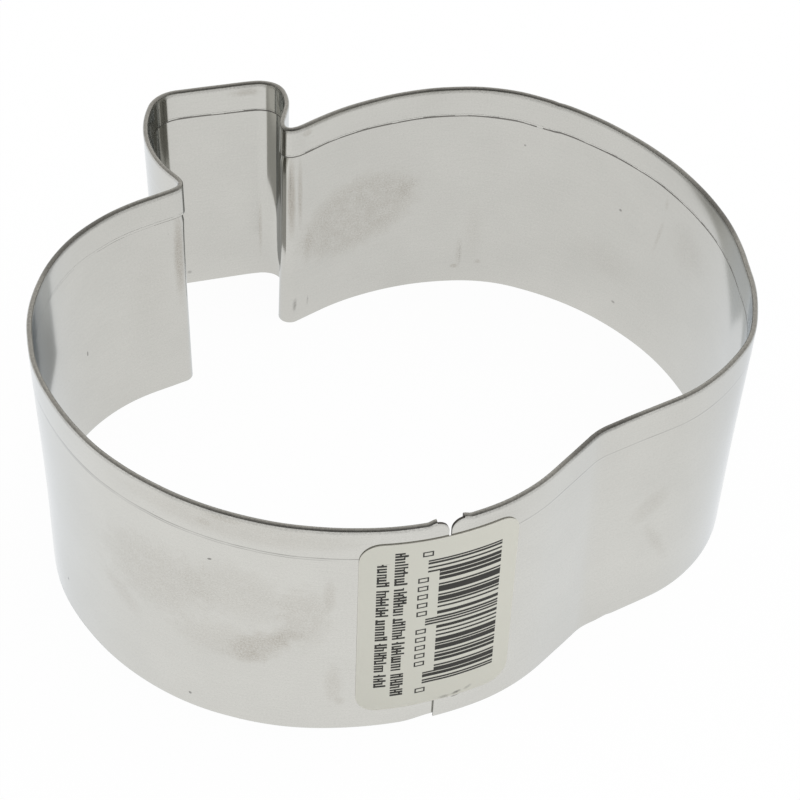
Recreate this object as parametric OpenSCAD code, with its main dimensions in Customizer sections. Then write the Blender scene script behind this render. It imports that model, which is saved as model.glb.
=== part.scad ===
// Pumpkin cookie cutter
// One strip of tinned steel is bent on edge round the outline of a pumpkin and its stem.
// The top edge is hemmed to the inside and the bare bottom edge cuts. The ends of the strip
// lap on the front left lobe, where they are spot-welded, and a paper label covers the joint.
// Millimetres. +Z is up and +Y points to the stem. The origin is on the worktop, under the
// middle of the whole outline.

/* [Pumpkin body] */
// Width over both lobes
body_w = 69; // [60:0.5:90]
// Depth of the lobes from front to back, without the stem
body_d = 53; // [48:0.5:68]
// Distance of the front dimple to the right of the middle
dimple_x = 2.55; // [0.5:0.05:4]
// Bend radius of the front dimple
dimple_r = 6; // [5:0.5:10]

/* [Stem] */
// Height of the stem behind the lobes
stem_rise = 12.5; // [10:0.25:16]
// Width of the stem where it leaves the lobes
stem_neck_w = 11.9; // [11:0.1:15]
// Width of the cut end of the stem
stem_end_w = 11.7; // [9:0.1:13]
// How far the cut end leans to the right of the neck
stem_lean = 5.95; // [4:0.05:7]
// How much lower the right corner of the cut end is than the left one
stem_slope = 4.95; // [3:0.05:6]
// Bend radius of the two notches between the stem and the lobes
notch_r = 0.8; // [0.7:0.1:1.5]

/* [Strip] */
// Height of the cutter, from the cutting edge to the top of the hem
strip_h = 25.4; // [20:0.2:32]
// Thickness of the tinned steel
sheet_t = 0.22; // [0.18:0.01:0.3]
// Height of the hem that is folded down inside
hem_h = 3.5; // [2.5:0.1:5]
// Space left between the wall and the folded hem
hem_gap = 0.08; // [0.05:0.01:0.2]

/* [Joint] */
// Distance of the joint to the left of the middle of the dimple, along the strip
joint_from_dimple = 17.6; // [14:0.1:22]
// Slit between the two ends of the hemmed edge
slit_w = 0.24; // [0.1:0.02:0.5]
// Radius of the rounded top corner at each end
corner_r = 1.1; // [0.8:0.1:1.6]
// How far the hem stands up where it is cut off at each end
burr_h = 0.25; // [0:0.05:0.4]
// How far the outer end laps past the slit
lap_outside = 0.55; // [0.2:0.05:1]
// How far the inner end laps past the slit, behind the outer one
lap_inside = 5; // [4:0.25:8]
// Distance of the top of the lap below the edge of the hem
lap_below_hem = 3.4; // [1.5:0.1:5]
// Space left between the two lapped ends
lap_gap = 0.04; // [0.03:0.01:0.1]
// Length over which the inner end is set back behind the outer one
setback_run = 3; // [2:0.25:6]
// Number of spot welds
weld_count = 3; // [2:1:4]
// Diameter of a spot weld
weld_d = 2; // [1.2:0.1:2.6]

/* [Label] */
// Length of the paper label along the strip
label_w = 14.5; // [12:0.1:20]
// Bottom edge of the label above the cutting edge
label_z = 2.4; // [1:0.1:4]
// Top edge of the label below the top of the hem
label_top = 1.7; // [0.5:0.1:4]
// How far the middle of the label is to the left of the slit
label_shift = 0.55; // [0:0.05:2]
// Radius of the label's corners
label_r = 2; // [1:0.1:3]
// Thickness of the paper
label_t = 0.1; // [0.08:0.01:0.2]
// Thickness of the glue under the label
glue_t = 0.03; // [0.03:0.01:0.06]

/* [Hidden] */

// Corners of the lobes, counterclockwise, as [x, y, bend radius] on a body that is drawn_w
// by drawn_d and has its middle at the origin
drawn_w = 69;
drawn_d = 53;
right_lobe = [
    [12.2, -26.05, 17],    // front, beside the dimple
    [23, -25.15, 19.5],    // front shoulder
    [39.35, 0.35, 30],     // side
    [28.35, 20, 15.5],     // back shoulder
    [18.15, 26.6, 28.5]    // back, towards the stem
];
left_lobe = [
    [-24.35, 27.6, 18.5],  // back shoulder
    [-32.15, 12.25, 24],   // side, behind the middle
    [-37.6, -1.95, 28],    // side, in front of the middle
    [-22.75, -23.95, 29],  // front shoulder
    [-7.25, -26.9, 19.5]   // front, beside the dimple
];
// Front corner of the dimple behind the front of the drawn body
dimple_y = 1.65;

// Stem corners, from the back line of the lobes
neck_x = -1.1;
notch_left_y = -1.1;
notch_right_y = 0;
crown_r = 3.5;
crown_over = 0.6;
cap_r = 2.5;
flank_r = 5.5;
flank_in = 1.3;
flank_share = 0.348;
flare_r = 13;
flare_out = 0.5;
flare_share = 0.58;

// Longest straight run and largest bend between two stations along the strip
station_run = 2.2;
station_bend = 13;
// Smallest distance between two stations where the joint meets the plain strip
station_spare = 0.6;
// Steps of the fold, and of the round corners at the ends of the strip and of the label
fold_steps = 5;
corner_steps = 4;
// Length of the hem's end over which it stands up to the burr
burr_run = 0.8;
// How far before the outer end's edge the inner end is fully set back
setback_spare = 0.15;
// How far a weld stands proud of the sheet on each side
weld_proud = 0.015;
// Longest run between two stations along the label
label_run = 1.2;

body_scale = [body_w / drawn_w, body_d / drawn_d];
radius_scale = min(body_scale);
body_y = -stem_rise / 2;
back_y = body_d / 2;
end_x = neck_x + stem_lean;
crown_y = back_y + stem_rise + crown_over;

function lobe_corner(c) = [c[0] * body_scale[0], c[1] * body_scale[1], c[2] * radius_scale];

stem_corners = [
    [neck_x + stem_neck_w / 2, back_y + notch_right_y, notch_r],
    [end_x + stem_end_w / 2 - flank_in, back_y + flank_share * stem_rise, flank_r],
    [end_x + stem_end_w / 2, crown_y - stem_slope, cap_r],
    [end_x - stem_end_w / 2, crown_y, crown_r],
    [neck_x - stem_neck_w / 2 - flare_out, back_y + flare_share * stem_rise, flare_r],
    [neck_x - stem_neck_w / 2, back_y + notch_left_y, notch_r]
];
corners = concat(
    [[dimple_x, -body_d / 2 + dimple_y * body_scale[1], dimple_r]],
    [for (c = right_lobe) lobe_corner(c)],
    stem_corners,
    [for (c = left_lobe) lobe_corner(c)]
);
count = len(corners);

// Each corner is bent to its radius, or to the largest that its two sides leave room for
function at(i) = (i + count) % count;
function xy(i) = [corners[at(i)][0], corners[at(i)][1] + body_y];
function side(i) = xy(i + 1) - xy(i);
function heading(i) = atan2(side(i)[1], side(i)[0]);
function half_turn(angle) = angle - 360 * round(angle / 360);
turns = [for (i = [0:count - 1]) half_turn(heading(i) - heading(i - 1))];
wanted = [for (i = [0:count - 1]) corners[i][2] * tan(abs(turns[i]) / 2)];
room = [for (i = [0:count - 1]) norm(side(i)) / (wanted[i] + wanted[at(i + 1)])];
radii = [for (i = [0:count - 1]) corners[i][2] * min(1, room[i], room[at(i - 1)])];
tangents = [for (i = [0:count - 1]) radii[i] * tan(abs(turns[i]) / 2)];

// The outline as runs of [start, heading, length, curvature], a bend and a straight in turn
function along(angle) = [cos(angle), sin(angle)];
function bend(i) = [
    xy(i) - tangents[i] * along(heading(i - 1)),
    heading(i - 1),
    radii[i] * abs(turns[i]) * PI / 180,
    sign(turns[i]) / radii[i]
];
function straight(i) = [
    xy(i) + tangents[i] * along(heading(i)),
    heading(i),
    max(0, norm(side(i)) - tangents[i] - tangents[at(i + 1)]),
    0
];
runs = [for (i = [0:count - 1]) each [bend(i), straight(i)]];
run_starts = [for (i = 0, s = 0; i < len(runs); s = s + runs[i][2], i = i + 1) s];
strip_l = run_starts[len(runs) - 1] + runs[len(runs) - 1][2];

// Point and heading at distance v along the strip, counterclockwise from the slit
joint_s = strip_l + runs[0][2] / 2 - joint_from_dimple;
function around(s) = s - strip_l * floor(s / strip_l);
function run_at(s) = max([for (i = [0:len(runs) - 1]) if (run_starts[i] <= s) i]);
function bent(run, s) =
    let (h = run[1] + s * run[3] * 180 / PI)
    [run[0] + ([sin(h), -cos(h)] - [sin(run[1]), -cos(run[1])]) / run[3], h];
function spot(v) =
    let (s = around(v + joint_s), i = run_at(s), s_run = s - run_starts[i])
    runs[i][3] == 0 ? [runs[i][0] + s_run * along(runs[i][1]), runs[i][1]] : bent(runs[i], s_run);

// Point at a distance outside the outline, and at height z
function beside(place, out, z) =
    [place[0][0] + out * sin(place[1]), place[0][1] - out * cos(place[1]), z];

// Round corner: how far along and how far down each of its steps is
function corner_in(r) = [for (k = [0:corner_steps]) r * (1 - cos(90 * k / corner_steps))];
function corner_down(r, d) = d >= r ? 0 : r - sqrt(r * r - pow(r - d, 2));
function ease(x) = let (c = max(0, min(1, x))) c * c * (3 - 2 * c);

// Stations along the strip: the first ones at the outer end, the last ones at the inner end
hem_start = slit_w / 2 + corner_r;
burr_end = hem_start + burr_run;
setback_end = lap_outside + setback_spare;
steps = [for (run = runs) max(1, ceil(max(run[2] / station_run,
    run[2] * abs(run[3]) * 180 / PI / station_bend)))];
stops = [for (i = [0:len(runs) - 1]) if (runs[i][2] > 0.01)
    for (k = [0:steps[i] - 1]) run_starts[i] + runs[i][2] * k / steps[i]];
joint_stop = around(joint_s);
clear = lap_inside + station_spare;
plain = [for (v = concat(
    [for (s = stops) if (s >= joint_stop) s - joint_stop],
    [for (s = stops) if (s < joint_stop) s - joint_stop + strip_l]))
    if (v > clear && v < strip_l - clear) v];
corner_stops = [for (d = corner_in(corner_r)) slit_w / 2 + d];
reach_stops = [burr_end, (burr_end + lap_inside) / 2, lap_inside];
first = concat([-lap_outside], corner_stops, reach_stops);
back_to_slit = concat(corner_stops, reach_stops);
last = concat(
    [for (k = [len(back_to_slit) - 1:-1:0]) strip_l - back_to_slit[k]],
    [strip_l + slit_w / 2, strip_l + hem_start],
    [for (v = reach_stops) strip_l + v]
);
stations = concat(first, plain, last);
places = [for (v = stations) spot(v)];

// Distance of a station from the slit, which is negative past it
function from_slit(v) = min(v, strip_l - v);

// The inner end is set back behind the outer one, below the hem
function setback(v) =
    (sheet_t + lap_gap) * ease((v - strip_l + setback_end + setback_run) / setback_run);

// Rows across the strip, from the cutting edge, up the wall and over the fold
fold_mid_r = (sheet_t + hem_gap) / 2;
fold_r = fold_mid_r + sheet_t / 2;
fold_z = strip_h - fold_r;
hem_z = strip_h - hem_h;
lap_h = hem_z - lap_below_hem;
wall_rows = [0, lap_h, hem_z];
fold_row = len(wall_rows);
last_row = fold_row + fold_steps + 1;

// A row as [distance inside the outline, height, how far it is folded over], mid sheet
function row(j) =
    j < fold_row ? [sheet_t / 2, wall_rows[j], 0]
    : j == last_row ? [sheet_t / 2 + 2 * fold_mid_r, hem_z, 180]
    : let (a = 180 * (j - fold_row) / fold_steps)
      [sheet_t / 2 + fold_mid_r * (1 - cos(a)), fold_z + fold_mid_r * sin(a), a];

// What lifts or cuts down the upper rows near the slit
function lift(v, j) =
    let (d = from_slit(v))
    j < fold_row || j == last_row ? 0
    : burr_h * (1 - ease((d - hem_start) / burr_run))
      - (j == fold_row ? corner_down(corner_r, max(0, d - slit_w / 2)) : 0);

function band_point(i, j, face) =
    let (v = stations[i], r = row(j), half = face * sheet_t / 2)
    beside(
        places[i],
        half * cos(r[2]) - r[0] - (j < fold_row - 1 ? setback(v) : 0),
        r[1] + half * sin(r[2]) + lift(v, j)
    );

// Which cells between two stations and two rows the blank of the strip fills
function in_band(i, j) =
    let (d = from_slit((stations[i] + stations[i + 1]) / 2))
    j <= (d < slit_w / 2 ? 0 : d < hem_start ? fold_row - 1 : last_row - 1);

// A sheet as a closed solid: a grid of cells with an outer and an inner face, and edge faces
// where a cell has no neighbour
function grid_index(i, j, face, rows) = ((i * rows) + j) * 2 + face;
function two(a, b, c, d) = [[a, b, c], [a, c, d]];

module sheet_solid(columns, rows, point, filled) {
    points = [for (i = [0:columns - 1]) for (j = [0:rows - 1]) for (f = [1, -1]) point(i, j, f)];
    inside = function (i, j)
        i >= 0 && j >= 0 && i < columns - 1 && j < rows - 1 && filled(i, j);
    faces = [for (i = [0:columns - 2]) for (j = [0:rows - 2]) if (inside(i, j))
        let (
            o = [for (c = [[i, j], [i, j + 1], [i + 1, j + 1], [i + 1, j]])
                grid_index(c[0], c[1], 0, rows)],
            n = [for (k = o) k + 1],
            open = [!inside(i - 1, j), !inside(i, j + 1), !inside(i + 1, j), !inside(i, j - 1)]
        )
        each concat(
            two(o[0], o[1], o[2], o[3]),
            two(n[0], n[3], n[2], n[1]),
            [for (k = [0:3]) if (open[k])
                each two(o[(k + 1) % 4], o[k], n[k], n[(k + 1) % 4])]
        )
    ];
    polyhedron(points, faces);
}

// Spot welds through the two lapped ends
module welds() {
    place = spot((slit_w / 2 + lap_inside) / 2);
    depth = 2 * sheet_t + lap_gap;
    for (k = [0:weld_count - 1]) {
        z = lap_h * (k + 0.5) / weld_count;
        translate(beside(place, weld_proud, z))
            rotate([90, 0, place[1]])
                translate([0, 0, -depth - 2 * weld_proud])
                    cylinder(d = weld_d, h = depth + 2 * weld_proud, $fn = 24);
    }
}

module band() {
    color("silver")
        union() {
            sheet_solid(
                len(stations), last_row + 1,
                function (i, j, f) band_point(i, j, f),
                function (i, j) in_band(i, j)
            );
            welds();
        }
}

// Stations of the label, from its left edge to its right one
label_h = strip_h - label_top - label_z;
label_cells = ceil((label_w - 2 * label_r) / label_run);
label_corner = corner_in(label_r);
label_start = -label_w / 2 - label_shift;
label_steps = concat(
    label_corner,
    [for (k = [1:label_cells - 1]) label_r + (label_w - 2 * label_r) * k / label_cells],
    [for (k = [corner_steps:-1:0]) label_w - label_corner[k]]
);
label_places = [for (d = label_steps) spot(label_start + d)];

function label_point(i, j, face) =
    let (d = label_steps[i], cut = corner_down(label_r, min(d, label_w - d)))
    beside(
        label_places[i],
        glue_t + (face > 0 ? label_t : 0),
        j == 0 ? label_z + cut : label_z + label_h - cut
    );

module label() {
    color("ivory")
        sheet_solid(
            len(label_steps), 2,
            function (i, j, f) label_point(i, j, f),
            function (i, j) true
        );
}

band();
label();
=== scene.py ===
"""Pumpkin cookie cutter of tinned steel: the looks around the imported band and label.

The strip of tin is laid again from the same outline as the band's, with finer steps, a round
fold, rolled cut edges and the small unevenness of bent tin. The paper label follows it. Sizes
are millimetres until a mesh is made; the frame is in metres, +Z up, +Y towards the stem.
"""

import logging
import math
from dataclasses import dataclass
from enum import Enum
from typing import ClassVar

import bmesh
import bpy
import numpy as np
from mathutils import Matrix, Vector

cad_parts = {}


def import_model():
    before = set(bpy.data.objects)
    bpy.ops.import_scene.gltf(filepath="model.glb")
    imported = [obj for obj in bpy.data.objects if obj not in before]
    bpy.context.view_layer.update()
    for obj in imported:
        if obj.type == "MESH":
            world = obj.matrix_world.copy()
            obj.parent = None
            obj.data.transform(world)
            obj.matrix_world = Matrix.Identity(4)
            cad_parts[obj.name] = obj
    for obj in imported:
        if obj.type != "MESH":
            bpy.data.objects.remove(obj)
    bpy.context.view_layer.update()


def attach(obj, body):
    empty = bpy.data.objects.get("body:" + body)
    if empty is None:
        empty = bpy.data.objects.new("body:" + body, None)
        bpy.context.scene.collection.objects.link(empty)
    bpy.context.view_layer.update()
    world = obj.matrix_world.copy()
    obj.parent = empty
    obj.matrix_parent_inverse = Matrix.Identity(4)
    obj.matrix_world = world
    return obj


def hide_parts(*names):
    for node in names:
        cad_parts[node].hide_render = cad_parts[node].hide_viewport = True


log = logging.getLogger("cookie_cutter")

MM = 0.001
STRIP_MAP = "Strip"
INNER_FACE_SHIFT = 40.0
HEM_UNFOLDED = 50.75
SHARP_EDGE = math.radians(38)
ORIGIN = (0.0, 0.0, 0.0)
WHITE = (1.0, 1.0, 1.0)

Array = np.ndarray
Pair = tuple[float, float]
Triple = tuple[float, float, float]
Colour = Triple
Socket = bpy.types.NodeSocket
Feeds = dict[str | int, object]


class Side(Enum):
    """Which face of the bent strip a mark lies on."""

    OUTSIDE = "outside"
    INSIDE = "inside"
    HEM = "hem"


class Finish(Enum):
    """Material slots of a sheet: its faces, its cut edges, and a dark sliver beside them that is
    bare steel and painted shade.
    """

    FACE = 0
    EDGE = 1
    WORN_AND_SHADED = 2


def ease(x: Array) -> Array:
    """Smooth step from 0 at 0 to 1 at 1."""
    c = np.clip(x, 0, 1)
    return c * c * (3 - 2 * c)


def corner_down(radius: float, along: Array) -> Array:
    """How far a round corner lies below its flat edge, at a distance from its end."""
    c = np.clip(along, 0, radius)
    return radius - np.sqrt(np.maximum(radius**2 - (radius - c) ** 2, 0))


# The outline


@dataclass(frozen=True)
class Corner:
    """A corner of the outline before it is bent round, and its bend radius."""

    x: float
    y: float
    bend: float


@dataclass
class Outline:
    """The pumpkin's outline as bends and straights, counterclockwise from the dimple."""

    corners: tuple[Corner, ...] = (
        Corner(2.55, -24.85, 6.0),  # dimple
        Corner(12.2, -26.05, 17.0),  # right lobe, beside the dimple
        Corner(23.0, -25.15, 19.5),  # right front shoulder
        Corner(39.35, 0.35, 30.0),  # right side
        Corner(28.35, 20.0, 15.5),  # right back shoulder
        Corner(18.15, 26.6, 28.5),  # right back, towards the stem
        Corner(4.85, 26.5, 0.8),  # right notch
        Corner(9.4, 30.85, 5.5),  # right flank of the stem
        Corner(10.7, 34.65, 2.5),  # right end of the stem
        Corner(-1.0, 39.6, 3.5),  # left end of the stem
        Corner(-7.55, 33.75, 13.0),  # left flank of the stem
        Corner(-7.05, 25.4, 0.8),  # left notch
        Corner(-24.35, 27.6, 18.5),  # left back shoulder
        Corner(-32.15, 12.25, 24.0),  # left side, behind the middle
        Corner(-37.6, -1.95, 28.0),  # left side, in front of the middle
        Corner(-22.75, -23.95, 29.0),  # left front shoulder
        Corner(-7.25, -26.9, 19.5),  # left lobe, beside the dimple
    )
    shift_y: float = -6.25
    joint_from_dimple: float = 17.6

    def __post_init__(self) -> None:
        """Works out the runs of the outline: start, heading, length and curvature."""
        points = np.array([(c.x, c.y + self.shift_y) for c in self.corners])
        bends = np.array([c.bend for c in self.corners])
        sides = np.roll(points, -1, 0) - points
        headings = np.arctan2(sides[:, 1], sides[:, 0])
        before = np.roll(headings, 1)
        turns = (headings - before + math.pi) % (2 * math.pi) - math.pi
        lengths = np.linalg.norm(sides, axis=1)
        wanted = bends * np.tan(np.abs(turns) / 2)
        room = lengths / (wanted + np.roll(wanted, -1))
        radii = bends * np.minimum(1, np.minimum(room, np.roll(room, 1)))
        cuts = radii * np.tan(np.abs(turns) / 2)

        def along(angles: Array) -> Array:
            """Unit vectors at these angles."""
            return np.column_stack([np.cos(angles), np.sin(angles)])

        count = len(points)
        self.starts = np.empty((2 * count, 2))
        self.starts[0::2] = points - cuts[:, None] * along(before)
        self.starts[1::2] = points + cuts[:, None] * along(headings)
        self.headings = np.column_stack([before, headings]).ravel()
        straights = np.maximum(0, lengths - cuts - np.roll(cuts, -1))
        self.lengths = np.column_stack([radii * np.abs(turns), straights]).ravel()
        self.curves = np.column_stack([np.sign(turns) / radii, np.zeros(count)]).ravel()
        self.run_starts = np.concatenate([[0], np.cumsum(self.lengths)[:-1]])
        self.length = float(self.lengths.sum())
        self.joint = self.length + self.lengths[0] / 2 - self.joint_from_dimple

    def place(self, v: Array) -> tuple[Array, Array]:
        """Points and headings at distances from the joint, counterclockwise.

        Args:
            v: distances along the strip, in millimetres.

        Returns:
            The points as an array of x and y, and the headings in radians.
        """
        s = (np.asarray(v, float) + self.joint) % self.length
        run = np.searchsorted(self.run_starts, s, side="right") - 1
        gone, start = s - self.run_starts[run], self.headings[run]
        curve = self.curves[run]
        bent = np.abs(curve) > 0
        safe = np.where(bent, curve, 1)
        heading = start + gone * curve
        x = np.where(bent, (np.sin(heading) - np.sin(start)) / safe, gone * np.cos(start))
        y = np.where(bent, (np.cos(start) - np.cos(heading)) / safe, gone * np.sin(start))
        return self.starts[run] + np.stack([x, y], -1), heading

    def rounded(self, v: Array, reach: Array) -> tuple[Array, Array]:
        """Points and directions averaged over a reach either way, which opens out a bend."""
        steps = [self.place(v + reach * part) for part in np.linspace(-1, 1, 9)]
        ways = [np.stack([np.cos(heading), np.sin(heading)], -1) for _, heading in steps]
        return np.mean([point for point, _ in steps], 0), np.mean(ways, 0)

    def stops(self, low: float, high: float, run: float, turn: float) -> Array:
        """Distances from the joint at which the strip is bent or has gone far enough.

        Args:
            low: first distance that may be used.
            high: last distance that may be used.
            run: longest run between two stops, in millimetres.
            turn: largest turn between two stops, in degrees.

        Returns:
            The distances in rising order.
        """
        found = []
        for start, length, curve in zip(self.run_starts, self.lengths, self.curves):
            if length > 0.01:
                most = max(length / run, math.degrees(length * abs(curve)) / turn)
                steps = max(1, math.ceil(most))
                found.append(start + length * np.arange(steps) / steps)
        v = np.sort((np.concatenate(found) - self.joint) % self.length)
        return v[(v > low) & (v < high)]


# Bent sheets


@dataclass
class Sheet:
    """A thin sheet as a closed mesh: cells with two faces, and edges at their free sides."""

    name: str
    outer: Array
    inner: Array
    filled: Array
    flat: Array
    worn_and_shaded: Array | None = None

    def _index(self, i: Array, j: Array, face: int) -> Array:
        """Vertex numbers of the grid points i, j on a face."""
        return (i * self.outer.shape[1] + j) * 2 + face

    def build(self) -> bpy.types.Object:
        """Makes the mesh, with its strip map, finishes and sharp edges.

        Returns:
            The new object, in the scene.
        """
        points = np.stack([self.outer, self.inner], 2).reshape(-1, 3) * MM
        i, j = np.nonzero(self.filled)
        ring = [(i, j), (i, j + 1), (i + 1, j + 1), (i + 1, j)]
        outer = np.stack([self._index(a, b, 0) for a, b in ring], 1)
        inner = outer + 1
        padded = np.pad(self.filled, 1)
        beside = [(i, j + 1), (i + 1, j + 2), (i + 2, j + 1), (i + 1, j)]
        edges = []
        for start, (a, b) in enumerate(beside):
            free, stop = ~padded[a, b], (start + 1) % 4
            corners = (outer[free, stop], outer[free, start])
            corners += (inner[free, start], inner[free, stop])
            edges.append(np.stack(corners, 1))
        faces = np.concatenate([outer, inner[:, ::-1], *edges])
        finish = np.full(len(faces), Finish.EDGE.value)
        worn_and_shaded = np.zeros(len(i), bool) if self.worn_and_shaded is None else self.worn_and_shaded[i, j]
        kinds = np.where(worn_and_shaded, Finish.WORN_AND_SHADED.value, Finish.FACE.value)
        finish[: 2 * len(i)] = np.tile(kinds, 2)
        flat = np.repeat(self.flat.reshape(-1, 2), 2, 0)
        flat[1::2, 1] += INNER_FACE_SHIFT
        used = np.unique(faces)
        number = np.zeros(len(points), int)
        number[used] = np.arange(len(used))
        return self._object(points[used], number[faces], flat[used], finish)

    def _object(
        self, points: Array, faces: Array, flat: Array, finish: Array
    ) -> bpy.types.Object:
        """Puts the mesh together.

        Args:
            points: vertices in metres.
            faces: four vertex numbers for each face.
            flat: where each vertex lies on the flat strip.
            finish: each face's material slot.

        Returns:
            The object, linked to the scene.
        """
        mesh = bpy.data.meshes.new(self.name)
        mesh.from_pydata(points.tolist(), [], faces.tolist())
        mesh.polygons.foreach_set("material_index", finish.astype(np.int32))
        mesh.polygons.foreach_set("use_smooth", np.ones(len(faces), bool))
        layer = mesh.uv_layers.new(name=STRIP_MAP)
        layer.uv.foreach_set("vector", flat[faces.ravel()].astype(np.float32).ravel())
        form = bmesh.new()
        form.from_mesh(mesh)
        for edge in form.edges:
            if len(edge.link_faces) == 2 and edge.calc_face_angle(0) > SHARP_EDGE:
                edge.smooth = False
        form.to_mesh(mesh)
        form.free()
        made = bpy.data.objects.new(self.name, mesh)
        bpy.context.scene.collection.objects.link(made)
        return made


@dataclass(frozen=True)
class Ripple:
    """Small unevenness along the strip, the same each time round."""

    waves: tuple[tuple[int, float, float], ...]

    def at(self, v: Array, length: float) -> Array:
        """Height of the ripple, in millimetres, at distances along the strip."""
        turn = 2 * math.pi * np.asarray(v, float) / length
        return sum(size * np.sin(count * turn + phase) for count, size, phase in self.waves)


@dataclass(frozen=True)
class Lean:
    """How far the hem stands outside the cutting edge, as slow waves round the outline."""

    mean: float = 0.094
    waves: tuple[Pair, ...] = (
        (-0.412, 0.43),
        (0.043, 0.091),
        (0.139, -0.067),
        (-0.076, -0.106),
        (-0.218, -0.161),
    )

    def at(self, turn: Array) -> Array:
        """The lean, in millimetres, at an angle round the outline from the dimple."""
        pairs = enumerate(self.waves, 1)
        parts = [c * np.cos(k * turn) + s * np.sin(k * turn) for k, (c, s) in pairs]
        return self.mean + sum(parts)


@dataclass(frozen=True)
class Nick:
    """A small knock in an edge of the strip."""

    v: float
    deep: float
    long: float

    def at(self, v: Array) -> Array:
        """How deep it is at distances along the strip."""
        return self.deep * np.exp(-(((v - self.v) / self.long) ** 2))


@dataclass(frozen=True)
class Notch:
    """A sharp bend that the hem opens out towards the rim."""

    v: float
    reach: float
    long: float = 3.2

    def near(self, v: Array) -> Array:
        """1 at the notch, 0 away from it."""
        return np.exp(-(((v - self.v) / self.long) ** 4))


class Part:
    """A sub-assembly that builds its mesh, dresses it and stands for a CAD node."""

    node: ClassVar[str]
    slot: ClassVar[str]

    def build(self) -> bpy.types.Object:
        """Makes the piece's mesh."""
        raise NotImplementedError

    def finishes(self, effects: "Effects") -> tuple[bpy.types.Material, ...]:
        """Materials of its faces and its edges, in the order of Finish."""
        raise NotImplementedError

    def dress(self, effects: "Effects") -> None:
        """Builds the piece, gives it its finishes and puts it in its node's place."""
        piece = self.build()
        for material in self.finishes(effects):
            piece.data.materials.append(material)
        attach(piece, "root")
        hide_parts(self.node)
        log.info("%s: %d faces", piece.name, len(piece.data.polygons))


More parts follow.
